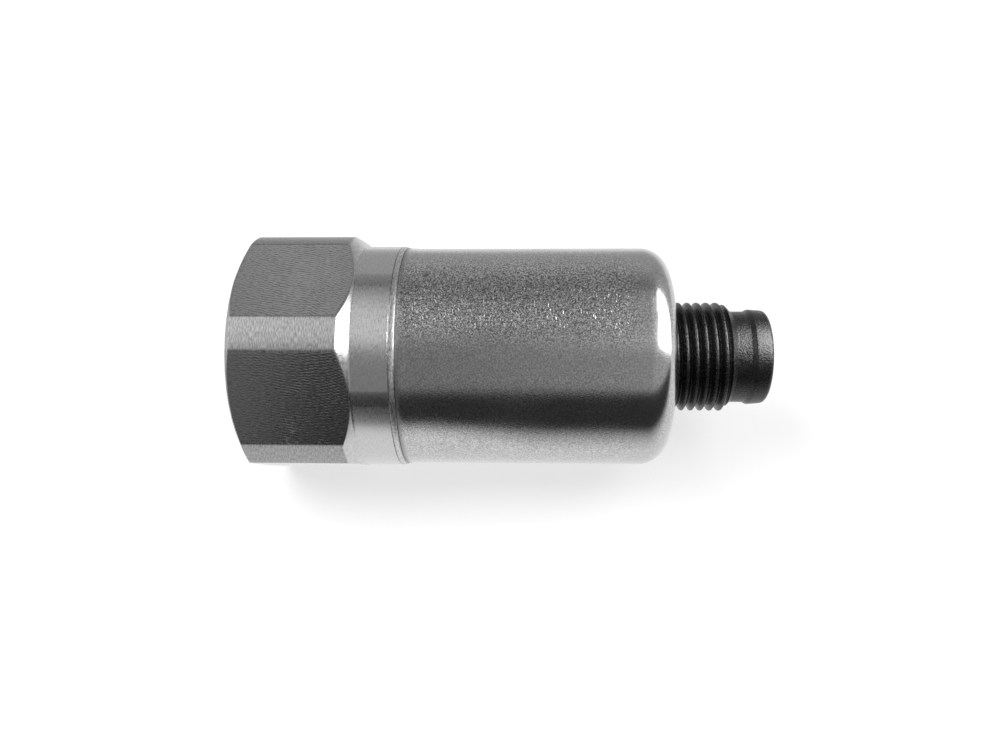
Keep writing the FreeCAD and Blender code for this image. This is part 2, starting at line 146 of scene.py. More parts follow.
class Skin:
    """Surface round the axis, built up from rows of the same number of points."""

    def __init__(self):
        self.points, self.faces, self.last = [], [], None

    def place(self, row):
        self.points += row
        return len(self.points) - len(row)

    def join(self, lower, upper, count):
        for i in range(count):
            k = (i + 1) % count
            self.faces.append((lower + i, lower + k, upper + k, upper + i))

    def add(self, row):
        start = self.place(row)
        if self.last is not None:
            self.join(self.last, start, len(row))
        self.last = start

    def lathe(self, profile, angles=EVEN):
        for x, radius in profile:
            self.add(circle(x, radius, angles))

    def close(self):
        """Fills the last row with a fan."""
        x = self.points[self.last][0]
        centre = self.place([(x, 0.0, 0.0)])
        count = centre - self.last
        for i in range(count):
            self.faces.append((self.last + i, self.last + (i + 1) % count, centre))

    def thread(self, start, end, pitch, radius_at, steps=16):
        """Right-hand thread.  Its rows follow the helix and are held back at both ends."""
        rows = []
        step = pitch / steps
        for j in range(round((end - start + pitch) / step) + 2):
            row = []
            for a in EVEN:
                x = min(max(start + j * step - pitch * a / TURN, start), end)
                radius = radius_at(x, (x / pitch + a / TURN) % 1.0)
                row.append((x, radius * math.sin(a), radius * math.cos(a)))
            rows.append(self.place(row))
        for j, (lower, upper) in enumerate(zip(rows, rows[1:])):
            for i in range(COLUMNS - 1):
                self.faces.append((lower + i, lower + i + 1, upper + i + 1, upper + i))
            seam = lower + COLUMNS - 1, upper + COLUMNS - 1
            near, far = rows[max(j - steps, 0)], rows[max(j + 1 - steps, 0)]
            self.faces.append((seam[0], near, far, seam[1]))
        return rows[0], rows[-1]


def softened(profile, steps=3):
    """Profile of (x, r, rounding) with each rounded corner given as short chords."""
    made = []
    for k, (x, r, rounding) in enumerate(profile):
        if not rounding or k in (0, len(profile) - 1):
            made.append((x, r))
            continue
        here = Vector((x, r))
        before = Vector(profile[k - 1][:2]) - here
        after = Vector(profile[k + 1][:2]) - here
        reach = min(rounding, before.length * 0.45, after.length * 0.45)
        start, end = here + before.normalized() * reach, here + after.normalized() * reach
        for j in range(steps + 1):
            t = j / steps
            made.append(tuple(start * (1 - t) ** 2 + here * 2 * t * (1 - t) + end * t * t))
    return made


def arc(centre, radius, start, end, steps):
    """Points of an arc, with angles in degrees from +X towards the radius."""
    made = []
    for j in range(steps + 1):
        a = math.radians(start + (end - start) * j / steps)
        made.append((centre[0] + radius * math.cos(a), centre[1] + radius * math.sin(a)))
    return made


def piece(name, skin, materials, nodes):
    """Object from a skin.  It rides on the body and stands for the CAD nodes."""
    mesh = bpy.data.meshes.new(name)
    mesh.from_pydata([tuple(c * MM for c in p) for p in skin.points], [], skin.faces)
    shape = bmesh.new()
    shape.from_mesh(mesh)
    bmesh.ops.remove_doubles(shape, verts=shape.verts, dist=3e-7)
    bmesh.ops.dissolve_degenerate(shape, edges=shape.edges, dist=1e-8)
    bmesh.ops.recalc_face_normals(shape, faces=shape.faces)
    shape.to_mesh(mesh)
    shape.free()
    mesh.shade_smooth()
    mesh.set_sharp_from_angle(angle=SHARP_EDGE)
    made = bpy.data.objects.new(name, mesh)
    bpy.context.scene.collection.objects.link(made)
    for material in materials:
        mesh.materials.append(material)
    weighted = made.modifiers.new("even_normals", "WEIGHTED_NORMAL")
    weighted.keep_sharp = True
    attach(made, "root")
    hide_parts(*nodes)
    return made


# ---------------------------------------------------------------- port
def soft_min(a, b):
    low, gap = min(a, b), abs(a - b)
    return low - EDGE_ROUND * math.log1p(math.exp(-gap / EDGE_ROUND))


def flat_half_angle(radius):
    """Half of the angle that a flat takes up where the turned face has this radius."""
    return math.acos(min(1.0, FLAT / radius))


def hexagon_row(x, radius):
    """Row with its columns gathered at the edges between the flats and the turned face."""
    edge = math.degrees(flat_half_angle(radius)) if radius > FLAT else 0.0
    edge = max(edge, 3.0)
    inner, outer = edge - 1.2, edge + 1.2
    half = [inner * k / 6 for k in range(6)]
    half += [edge + d for d in (-1.2, -0.5, -0.2, 0.0, 0.2, 0.5, 1.2)]
    half += [outer + (30 - outer) * k / 3 for k in (1, 2)]
    row = []
    for sector in range(6):
        turns = [-30.0] + [-h for h in reversed(half)] + half[1:]
        for turn in turns:
            a = math.radians(60 * sector + turn)
            r = soft_min(radius, FLAT / math.cos(math.radians(turn)))
            row.append((x, r * math.sin(a), r * math.cos(a)))
    return row


def with_chamfer_rings(profile):
    """Adds rings on the chamfers, where the flats' edges curve."""
    limit = flat_half_angle(BAR)
    radii = [FLAT / math.cos(limit * k / 16) for k in range(17)]
    made = [profile[0]]
    for (x0, r0), (x1, r1) in zip(profile, profile[1:]):
        inside = [r for r in radii if min(r0, r1) + 1e-4 < r < max(r0, r1) - 1e-4]
        for r in sorted(inside, reverse=r1 < r0):
            made.append((x0 + (x1 - x0) * (r - r0) / (r1 - r0), r))
        made.append((x1, r1))
    return made


def bore_thread(x, phase):
    """Internal thread: flat crests of a quarter pitch, 60 degree flanks, narrow roots."""
    rise = min(max((abs(phase - 0.5) - 0.0625) / 0.3125, 0.0), 1.0)
    depth = BORE_MAJOR - (BORE_MAJOR - BORE_MINOR) * rise
    return max(depth, COUNTERSINK - x / math.tan(math.radians(30)))


def mark_milling(mesh):
    """Gives the flats the second material, and every point its place across its flat."""
    places = mesh.attributes.new("milling", "FLOAT_VECTOR", "POINT")
    for point in mesh.vertices:
        x, y, z = (c / MM for c in point.co)
        angle = math.atan2(y, z)
        flat = round(angle / (TURN / 6))
        rest = angle - flat * TURN / 6
        places.data[point.index].vector = (x, math.hypot(y, z) * math.sin(rest), flat % 6)
    for face in mesh.polygons:
        x, y, z = (c / MM for c in face.center)
        angle = round(math.atan2(y, z) / (TURN / 6)) * TURN / 6
        out = Vector((0, math.sin(angle), math.cos(angle)))
        on_plane = abs(out.y * y + out.z * z - FLAT) < 0.02
        if x < NECK_START and on_plane and face.normal.dot(out) > 0.9985:
            face.material_index = 1


def build_port(turned, milled):
    skin = Skin()
    skin.add(circle(0, COUNTERSINK))
    outside = softened([
        (0, END_FACE - 0.5, 0),
        (0, END_FACE, 0.1),
        (END_CHAMFER, BAR, 0.08),
        (HEXAGON_END, BAR, 0.08),
        (NECK_START, NECK, 0.12),
        (NECK_END, NECK, 0.05),
        (NECK_END, SPIGOT + 0.3, 0),
    ])
    for x, radius in with_chamfer_rings(outside):
        skin.add(hexagon_row(x, radius))
    inside = softened([
        (NECK_END, SPIGOT, 0),
        (INNER_FACE - 0.4, SPIGOT, 0.1),
        (INNER_FACE, SPIGOT - 0.4, 0.1),
        (INNER_FACE, CELL_RECESS, 0.1),
        (CELL_BASE, CELL_RECESS, 0.1),
        (CELL_BASE, CHANNEL, 0.1),
        (PASSAGE_END, CHANNEL, 0.1),
        (PASSAGE_END, PASSAGE, 0),
        (SEAT_END, PASSAGE, 0.15),
        (SEAT_START, SEAT_MOUTH, 0.06),
        (SEAT_START, UNDERCUT, 0.1),
        (BORE_THREAD_END, UNDERCUT, 0),
    ])
    skin.lathe(inside)
    last_row = skin.thread(0, BORE_THREAD_END, BORE_PITCH, bore_thread)[1]
    skin.join(skin.last, last_row, COLUMNS)
    port = piece("port_turned_and_milled", skin, [turned, milled],
                 ["pressure_port"])
    mark_milling(port.data)
    return port


# ---------------------------------------------------------------- weld and can
def build_weld(material):
    """Bead of overlapping scales, with a fine groove along each edge."""
    draw = random.Random(7)
    columns, across = 900, 12
    angles = [TURN * k / columns for k in range(columns)]
    drift = [draw.uniform(0, TURN) for _ in range(4)]
    skin = Skin()
    skin.add(circle(NECK_END, SPIGOT, angles))
    for j in range(across + 1):
        t = j / across
        base = (NECK - 0.05) * (1 - t) + (CAN_LIP - 0.04) * t
        arch = math.sin(math.pi * t)
        row = []
        for a in angles:
            lag = 0.5 * (1 - arch)
            scale = (a * 150 / TURN + lag) % 1.0
            ripple = 0.010 * arch * (scale - 0.5)
            wander = sum(math.sin(a * n + d) for n, d in zip((3, 7, 13, 29), drift))
            edge = 0.008 * wander * (1 - arch)
            x = NECK_END + 0.01 + (CAN_START - NECK_END - 0.02) * t + edge * 0.5
            radius = base + (WELD_CROWN + 0.02) * arch ** 0.6 + ripple
            row.append((x, radius * math.sin(a), radius * math.cos(a)))
        skin.add(row)
    skin.add(circle(CAN_START, SPIGOT, angles))
    skin.add(circle(NECK_END, SPIGOT, angles))
    return piece("weld_bead_ring", skin, [material], ["weld_seam"])


def build_can(material):
    inner = CAN - CAN_WALL
    outer_centre = (CAN_END - CAN_CORNER, CAN - CAN_CORNER)
    inner_centre = (CAN_END - CAN_CORNER, inner - (CAN_CORNER - CAN_WALL))
    profile = softened([
        (CAN_START, inner, 0),
        (CAN_START, CAN_LIP, 0.05),
        (CAN_LIP_END, CAN, 0.5),
        (30.0, CAN, 0),
    ])
    profile += arc(outer_centre, CAN_CORNER, 90, 0, 28)
    profile += softened([
        (CAN_END, outer_centre[1] - 0.1, 0),
        (CAN_END, CAN_HOLE, 0.12),
        (CAN_END - CAN_WALL, CAN_HOLE, 0),
    ])
    profile += arc(inner_centre, CAN_CORNER - CAN_WALL, 0, 90, 12)
    profile.append((CAN_START, inner))
    skin = Skin()
    skin.lathe(profile)
    return piece("can_drawn", skin, [material], ["housing_can"])


# ---------------------------------------------------------------- plug
def plug_thread(x, phase):
    """External thread with well rounded crests, cut back by the chamfer at its end."""
    across = abs((phase - CREST_PHASE + 0.5) % 1.0 - 0.5) * 2
    rise = min(max((0.94 - across) / 0.8, 0.0), 1.0)
    rise = 0.45 * rise + 0.55 * rise * rise * (3 - 2 * rise)
    radius = ROOT + (CREST - ROOT) * rise
    return min(radius, NOSE_ROOT + THREAD_END - x)


SOCKET_ANGLES = [0.0, 2.6, 5.2, 7.4, 9.7]
SOCKET_REST = COLUMNS - 2 * len(SOCKET_ANGLES) + 1


def socket_angles():
    """Column angles of the socket: gathered at the key, even elsewhere."""
    gap = SOCKET_ANGLES[-1] + 2.0
    others = [gap + (360 - 2 * gap) * k / (SOCKET_REST - 1) for k in range(SOCKET_REST)]
    degrees = SOCKET_ANGLES + others + [360 - a for a in reversed(SOCKET_ANGLES[1:])]
    return [math.radians(a) for a in degrees]


def key_row(x):
    """Row of the socket's wall with the key standing inwards from it, at the top."""
    row = circle(x, SOCKET, socket_angles())
    for k in range(4):
        for index, side in ((k, 1), (-k, -1)):
            row[index] = (x, side * KEY_HALF * k / 3, KEY_TOP)
    foot = math.sqrt(SOCKET ** 2 - KEY_HALF ** 2)
    row[4], row[-4] = (x, KEY_HALF, foot), (x, -KEY_HALF, foot)
    return row


def nose_tip(steps=8):
    """Quarter of an ellipse from the taper's end to the tip's face."""
    length, height = PLUG_TIP - NOSE_END, NOSE_END_RADIUS - NOSE_TIP_RADIUS
    made = []
    for k in range(1, steps + 1):
        a = math.pi / 2 * k / steps
        made.append((NOSE_END + length * math.sin(a), NOSE_TIP_RADIUS + height * math.cos(a)))
    return made


def build_plug(material):
    skin = Skin()
    bevel_back = CAN_END - CAN_WALL - FLANGE_BEVEL
    wall = CAN_END - CAN_WALL
    skin.lathe([(INSULATOR_BACK, 0.01)])
    skin.lathe(softened([
        (INSULATOR_BACK, POCKET - 0.5, 0),
        (INSULATOR_BACK, POCKET, 0.2),
        (FLANGE_BACK, POCKET, 0.15),
        (FLANGE_BACK, FLANGE, 0.15),
        (bevel_back, FLANGE, 0.15),
        (wall, FLANGE - FLANGE_BEVEL, 0.03),
        (wall, SEAL_GROOVE[1], 0),
        (wall - SEAL_DEPTH, SEAL_GROOVE[1], 0.1),
        (wall - SEAL_DEPTH, SEAL_GROOVE[0], 0.1),
        (wall, SEAL_GROOVE[0], 0.05),
        (wall, COLLAR, 0),
        (CAN_END, COLLAR, 0),
    ]))
    before = skin.last
    first, last = skin.thread(CAN_END, THREAD_END, PITCH, plug_thread, steps=20)
    skin.join(before, first, COLUMNS)
    skin.last = last
    skin.lathe(softened([
        (THREAD_END, NOSE_ROOT, 0),
        (NOSE_RAMP, NOSE_ROOT, 0.1),
        (NOSE_LIP, NOSE_LIP_RADIUS, 0.12),
        (NOSE_END, NOSE_END_RADIUS, 0),
    ]))
    skin.lathe(nose_tip())
    skin.lathe(softened([
        (PLUG_TIP, SOCKET + MOUTH_CHAMFER + 0.1, 0),
        (PLUG_TIP, SOCKET + MOUTH_CHAMFER, 0.06),
        (PLUG_TIP - MOUTH_CHAMFER, SOCKET, 0.06),
        (PLUG_TIP - 0.4, SOCKET, 0),
    ]))
    skin.add(circle(PLUG_TIP - 0.5, SOCKET, socket_angles()))
    skin.add(circle(KEY_START, SOCKET, socket_angles()))
    skin.add(key_row(KEY_START))
    skin.add(key_row(SOCKET_FLOOR))
    floor = socket_angles()
    for k, degrees in enumerate((0.0, 3.5, 6.5, 9.4, 10.8)):
        floor[k] = math.radians(degrees)
        floor[-k] = -math.radians(degrees)
    skin.add(circle(SOCKET_FLOOR, KEY_TOP - 0.12, floor))
    skin.lathe([(SOCKET_FLOOR, 0.8)])
    skin.close()
    return piece("plug_moulded", skin, [material], ["connector_body"])


def build_pin(number, material):
    """Contact pin with a rounded tip, a collar behind the insulator and a tail."""
    profile = [
        (PIN_TAIL, 0.001),
        (PIN_TAIL, PIN_TAIL_RADIUS),
        (PIN_TAIL + PIN_TAIL_CHAMFER, PIN_RADIUS),
        (PIN_COLLAR_START, PIN_RADIUS),
        (PIN_COLLAR_START, PIN_COLLAR),
        (INSULATOR_BACK, PIN_COLLAR),
        (INSULATOR_BACK, PIN_RADIUS),
        (PIN_TIP - 0.75, PIN_RADIUS),
        (PIN_TIP - 0.55, 0.485),
        (PIN_TIP - 0.3, 0.4),
        (PIN_TIP - 0.12, 0.29),
        (PIN_TIP - 0.03, 0.17),
        (PIN_TIP, 0.001),
    ]
    angles = [TURN * k / 40 for k in range(40)]
    skin = Skin()
    skin.lathe(profile, angles)
    turn = math.radians(45 + 90 * (number - 1))
    y, z = -PIN_CIRCLE * math.sin(turn), PIN_CIRCLE * math.cos(turn)
    skin.points = [(p[0], p[1] + y, p[2] + z) for p in skin.points]
    return piece("pin_gold_%d" % number, skin, [material],
                 ["contact_pin_%d" % number])


# ==================================================================== materials
class Nodes:
    """Short way to write a node tree."""

    def __init__(self, tree):
        self.tree = tree
        tree.nodes.clear()

    def add(self, kind, inputs=None, **settings):
        made = self.tree.nodes.new(kind)
        for name, value in settings.items():
            setattr(made, name, value)
        for name, value in (inputs or {}).items():
            self.put(made.inputs[name], value)
        return made

    def put(self, socket, value):
        if isinstance(value, bpy.types.NodeSocket):
            self.tree.links.new(value, socket)
        else:
            socket.default_value = value

    def math(self, operation, a, b=0.0):
        made = self.add("ShaderNodeMath", {0: a, 1: b}, operation=operation)
        return made.outputs[0]

    def spread(self, value, low, high, to_low, to_high):
        """The value from one range put onto another, and held there."""
        made = self.add("ShaderNodeMapRange", {"Value": value, "From Min": low, "From Max": high,
                                               "To Min": to_low, "To Max": to_high})
        return made.outputs[0]

    def blend(self, factor, a, b):
        made = self.add("ShaderNodeMix", {0: factor, 6: a, 7: b}, data_type="RGBA")
        return made.outputs[2]

    def noise(self, place, scale, detail=2.0, rough=0.5):
        made = self.add("ShaderNodeTexNoise", {"Vector": place, "Scale": scale, "Detail": detail,
                                               "Roughness": rough})
        return made.outputs["Fac"]

    def vector(self, x, y, z=0.0):
        return self.add("ShaderNodeCombineXYZ", {0: x, 1: y, 2: z}).outputs[0]

    def place(self):
        """Place on the piece in millimetres: x, y, z."""
        where = self.add("ShaderNodeTexCoord").outputs["Object"]
        scaled = self.add("ShaderNodeVectorMath", {0: where, 3: 1 / MM}, operation="SCALE")
        return scaled.outputs[0]

    def round_axis(self):
        """Place in millimetres: along the axis, round it, and out from it."""
        x, y, z = self.add("ShaderNodeSeparateXYZ", {0: self.place()}).outputs
        turn = self.math("ARCTAN2", y, z)
        out = self.math("SQRT", self.math("ADD", self.math("MULTIPLY", y, y),
                                          self.math("MULTIPLY", z, z)))
        return x, self.math("MULTIPLY", turn, 11.8), out

    def bump(self, height, depth):
        """Depth is in millimetres."""
        inputs = {"Height": height, "Distance": depth * MM, "Strength": 1.0}
        return self.add("ShaderNodeBump", inputs).outputs[0]

    def finish(self, shader):
        out = self.add("ShaderNodeOutputMaterial")
        self.tree.links.new(shader, out.inputs["Surface"])


def new_material(name):
    made = bpy.data.materials.new(name)
    made.use_nodes = True
    return made, Nodes(made.node_tree)


def surface(nodes, inputs):
    shader = nodes.add("ShaderNodeBsdfPrincipled", inputs)
    nodes.finish(shader.outputs[0])


def grey(level):
    return (level, level, level, 1.0)


def turned_steel():
    """Machined bar: fine tool marks round the axis."""
    material, n = new_material("turned_steel")
    x, turn, out = n.round_axis()
    along = n.math("ADD", x, n.math("MULTIPLY", out, 0.7))
    marks = n.noise(n.vector(n.math("MULTIPLY", along, 11.0), n.math("MULTIPLY", turn, 2.0)),
                    1.0, 2.0, 0.6)
    broad = n.noise(n.place(), 0.35, 2.0)
    tone = n.blend(n.spread(marks, 0.38, 0.64, 0, 1), grey(0.36), grey(0.82))
    tone = n.blend(n.math("MULTIPLY", broad, 0.18), tone, grey(0.5))
    bar = n.spread(x, HEXAGON_END - 0.1, HEXAGON_END, 1.0, 0.0)
    tone = n.blend(n.spread(bar, 0.0, 1.0, 0.72, 0.0), tone, grey(0.62))
    tone = n.blend(n.math("MULTIPLY", bar, 0.42), tone, grey(0.1))
    rough = n.math("ADD", n.spread(marks, 0.3, 0.75, 0.24, 0.34), n.math("MULTIPLY", bar, 0.12))
    radial = n.add("ShaderNodeTangent", direction_type="RADIAL", axis="X").outputs[0]
    surface(n, {
        "Base Color": tone,
        "Metallic": 1.0,
        "Roughness": rough,
        "Anisotropic": 0.8,
        "Anisotropic Rotation": 0.25,
        "Tangent": radial,
        "Normal": n.bump(marks, 0.008),
    })
    return material


def milled_steel():
    """Faces of the hexagon: the cutter's arcs out and back, which cross in fine dashes."""
    material, n = new_material("milled_steel")
    place = n.add("ShaderNodeAttribute", attribute_name="milling").outputs["Vector"]
    x, across, flat = n.add("ShaderNodeSeparateXYZ", {0: place}).outputs
    drift = n.noise(n.vector(x, across, flat), 0.6, 2.0)
    waves = []
    for centre, radius, pitch in ((2.6, -15.0, 0.27), (8.4, 13.0, 0.29)):
        dx = n.math("SUBTRACT", x, centre)
        dy = n.math("SUBTRACT", across, radius)
        reach = n.math("SQRT", n.math("ADD", n.math("MULTIPLY", dx, dx),
                                      n.math("MULTIPLY", dy, dy)))
        reach = n.math("ADD", reach, n.math("MULTIPLY", drift, 0.6))
        waves.append(n.math("SINE", n.math("MULTIPLY", reach, TURN / pitch)))
    dashes = n.noise(n.vector(n.math("MULTIPLY", x, 2.2), n.math("MULTIPLY", across, 6.0), flat),
                     1.0, 2.0, 0.6)
    patches = n.spread(n.noise(n.vector(x, across, flat), 0.3, 2.0), 0.35, 0.65, 0.4, 1.0)
    off_middle = n.math("ABSOLUTE", n.math("SUBTRACT", x, 7.0))
    patches = n.math("MULTIPLY", patches, n.spread(off_middle, 2.0, 6.0, 1.3, 0.3))
    crossed = n.math("MULTIPLY", n.math("ADD", waves[0], waves[1]), patches)
    height = n.math("ADD", n.math("MULTIPLY", crossed, 0.2), dashes)
    tone = n.blend(n.spread(height, 0.1, 0.55, 0, 1), grey(0.28), grey(0.72))
    surface(n, {
        "Base Color": tone,
        "Metallic": 1.0,
        "Roughness": n.spread(dashes, 0.3, 0.7, 0.13, 0.22),
        "Normal": n.bump(height, 0.012),
    })
    return material


def drawn_steel():
    """Drawn can: a close grain and short scratches whose near-white colour is a painted glint,
    both strongest in one strip along the top, and a lip that the weld's heat has dulled."""
    material, n = new_material("drawn_steel")
    x, turn, out = n.round_axis()
    # Strip along the top where the grain keeps its full contrast and the scratches show;
    # elsewhere the grain fades towards an even grey.
    top_strip = n.spread(n.math("ABSOLUTE", n.math("ADD", turn, 1.6)), 3.0, 6.0, 1.0, 0.3)
    top_strip = n.math("MULTIPLY", top_strip, n.spread(x, 38.5, 41.0, 1.0, 0.25))
    grain = n.noise(n.place(), 6.5, 2.0, 0.7)
    broad = n.noise(n.place(), 0.22, 2.0)
    along = n.math("ADD", x, n.math("MULTIPLY", out, 0.6))
    scratches = n.noise(n.vector(n.math("MULTIPLY", along, 8.0), turn), 1.3, 1.0, 0.5)
    patches = n.spread(n.noise(n.vector(along, turn), 0.5, 2.0), 0.35, 0.6, 0.45, 1.0)
    # The scratches are real marks, but their near-white colour is a painted glint.
    light = n.math("MULTIPLY", n.spread(scratches, 0.63, 0.74, 0.0, 1.0),
                   n.math("MULTIPLY", patches, top_strip))
    heat = n.spread(x, CAN_START + 0.1, CAN_START + 0.5, 1.0, 0.0)
    tone = n.blend(n.spread(grain, 0.38, 0.62, 0, 1), grey(0.12), grey(0.88))
    tone = n.blend(n.spread(top_strip, 0.1, 1.0, 0.77, 0.0), tone, grey(0.55))
    tone = n.blend(light, tone, grey(1.0))
    tone = n.blend(n.math("MULTIPLY", heat, 0.6), tone, grey(0.25))
    rough = n.math("ADD", n.spread(broad, 0.3, 0.7, 0.14, 0.21), n.math("MULTIPLY", light, 0.14))
    height = n.math("ADD", grain, n.math("MULTIPLY", light, 0.2))
    height = n.math("MULTIPLY", height, top_strip)
    surface(n, {
        "Base Color": tone,
        "Metallic": 1.0,
        "Roughness": n.math("ADD", rough, n.math("MULTIPLY", heat, 0.2)),
        "Normal": n.bump(height, 0.04),
    })
    return material


def weld_steel():
    """Weld: a bright crown between two edges darkened with painted shade, where the bead dips
    into the grooves beside it.
    """
    material, n = new_material("weld_steel")
    x, turn, out = n.round_axis()
    scales = n.noise(n.vector(n.math("MULTIPLY", x, 3.0), turn), 2.6, 3.0, 0.6)
    middle = (NECK_END + CAN_START) / 2
    off_crown = n.math("ABSOLUTE", n.math("SUBTRACT", x, middle))
    tone = n.blend(n.spread(scales, 0.35, 0.65, 0, 1), grey(0.4), grey(0.85))
    # Painted shade: the bead's edges, down in the grooves, are darkened.
    tone = n.blend(n.spread(off_crown, 0.2, 0.27, 0, 1), tone, grey(0.2))
    surface(n, {
        "Base Color": tone,
        "Metallic": 1.0,
        "Roughness": n.spread(scales, 0.3, 0.7, 0.26, 0.4),
        "Normal": n.bump(scales, 0.02),
    })
    return material


def black_plastic():
    """Glass-filled moulding: deep black, with a grainy sheen."""
    material, n = new_material("black_plastic")
    place = n.place()
    grain = n.noise(place, 6.0, 2.0, 0.6)
    broad = n.noise(place, 0.8, 2.0)
    tone = n.blend(broad, grey(0.0015), grey(0.003))
    surface(n, {
        "Base Color": tone,
        "Roughness": n.spread(grain, 0.3, 0.7, 0.22, 0.36),
        "IOR": 1.45,
        "Normal": n.bump(grain, 0.06),
    })
    return material


def plain(name, low, high, roughness, metallic=0.0, scale=4.0, depth=0.004):
    """Material whose colour, gloss and surface vary a little with a fine noise."""
    material, n = new_material(name)
    place = n.place()
    fine = n.noise(place, scale, 3.0, 0.6)
    broad = n.noise(place, scale * 0.15, 2.0)
    tone = n.blend(n.spread(n.math("ADD", fine, broad), 0.7, 1.3, 0, 1), low + (1.0,),
                   high + (1.0,))
    surface(n, {
        "Base Color": tone,
        "Metallic": metallic,
        "Roughness": n.spread(fine, 0.3, 0.7, roughness * 0.85, roughness * 1.15),
        "Normal": n.bump(fine, depth),
    })
    return material


INNER_FINISHES = {
    "valve_depressor": plain("opener_brass", (0.55, 0.38, 0.13), (0.72, 0.52, 0.2), 0.32, 1.0),
    "sensor_cell": plain("cell_steel", (0.5, 0.5, 0.49), (0.62, 0.62, 0.6), 0.3, 1.0),
    "gauge_film": plain("gauge_layer", (0.25, 0.2, 0.12), (0.34, 0.27, 0.16), 0.35, 0.4),
    "bond_wires": plain("wire_aluminium", (0.7, 0.7, 0.7), (0.8, 0.8, 0.8), 0.25, 1.0),
    "ground_spring": plain("spring_steel", (0.48, 0.48, 0.47), (0.6, 0.6, 0.58), 0.3, 1.0),
    "flange_seal": plain("seal_rubber", (0.012, 0.012, 0.012), (0.03, 0.03, 0.03), 0.7),
    "pin_seal_disc": plain("resin", (0.02, 0.02, 0.022), (0.05, 0.05, 0.055), 0.35),
    "solder_joints": plain("solder", (0.55, 0.56, 0.58), (0.72, 0.73, 0.75), 0.3, 1.0),
    "board_carrier": plain("carrier_plastic", (0.06, 0.06, 0.065), (0.1, 0.1, 0.1), 0.5),
    "insulating_sleeve": plain("sleeve_plastic", (0.6, 0.5, 0.25), (0.7, 0.6, 0.35), 0.4),
    "board_link": plain("flex_film", (0.55, 0.3, 0.06), (0.65, 0.38, 0.1), 0.35),
}
LAMINATE = plain("circuit_laminate", (0.015, 0.12, 0.04), (0.03, 0.19, 0.07), 0.4)
MOULDED_CHIP = plain("chip_plastic", (0.015, 0.015, 0.017), (0.04, 0.04, 0.042), 0.55)
CERAMIC_CHIP = plain("chip_ceramic", (0.35, 0.26, 0.17), (0.48, 0.37, 0.26), 0.4)
for board in ("contact_ring_board", "main_board"):
    INNER_FINISHES[board] = LAMINATE
for chip in ("signal_chip", "regulator_chip", "protection_diodes"):
    INNER_FINISHES[chip] = MOULDED_CHIP
for chip in ("chip_capacitors", "chip_resistors"):
    INNER_FINISHES[chip] = CERAMIC_CHIP

for node, finish in INNER_FINISHES.items():
    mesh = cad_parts[node].data
    mesh.materials.clear()
    mesh.materials.append(finish)

build_port(turned_steel(), milled_steel())
build_weld(weld_steel())
build_can(drawn_steel())
build_plug(black_plastic())
GOLD = plain("contact_plating", (0.72, 0.5, 0.2), (0.85, 0.63, 0.3), 0.22, 1.0)
for number in range(1, 5):
    build_pin(number, GOLD)


# ==================================================================== studio
# Directions are given by a turn about the object's axis, in degrees from the horizon in
# front (-Y) over the top, and by a lean along the axis, towards +X.  The cards stand still
# in the world.  Their levels are tuned for what the steel reflects in the camera's view.
CARDS = [
    # turn from, to, lean from, to, brightness, softness of the turn and of the lean
    (-20, 200, -95, 95, 0.24, 1, 1),
    (12, 80, 10, 95, 0.46, 12, 40),
    (75, 130, -95, 95, 0.13, 8, 1),
    (75, 138, -95, -11, 0.24, 10, 3),
    (124, 142, -16, -12, 0.40, 8, 3),
    (66, 114, -30, -10, 0.66, 10, 3),
    (74, 114, -15, -11, 1.3, 8, 1.5),
    (75, 116, -9, 4, 0.08, 10, 2),
    (142, 200, -95, 95, 0.44, 24, 1),
    (-20, 14, -95, 95, 0.04, 8, 1),
    (-20, 14, -95, -15, 0.13, 8, 4),
    (-20, 16, -15, -12, 0.0, 6, 2),
    (58, 116, -75, -30, 3.2, 6, 6),
    (60, 122, 14, 95, 0.80, 20, 44),
    (76, 180, 52, 95, 4.0, 36, 16),
    (142, 200, 25, 95, 0.40, 8, 12),
    (-20, 200, -95, -74, 0.03, 1, 6),
]


def edge_ramp(value, low, high, softness):
    """1 inside a range, 0 outside it, and smooth between."""
    inside = min(value - low, high - value) / softness + 0.5
    t = min(max(inside, 0.0), 1.0)
    return t * t * (3 - 2 * t)


def brightness(turn, lean):
    level = 0.3
    for turn_from, turn_to, lean_from, lean_to, card, turn_softness, lean_softness in CARDS:
        weight = (edge_ramp(turn, turn_from, turn_to, turn_softness)
                  * edge_ramp(lean, lean_from, lean_to, lean_softness))
        level += (card - level) * weight
    return level


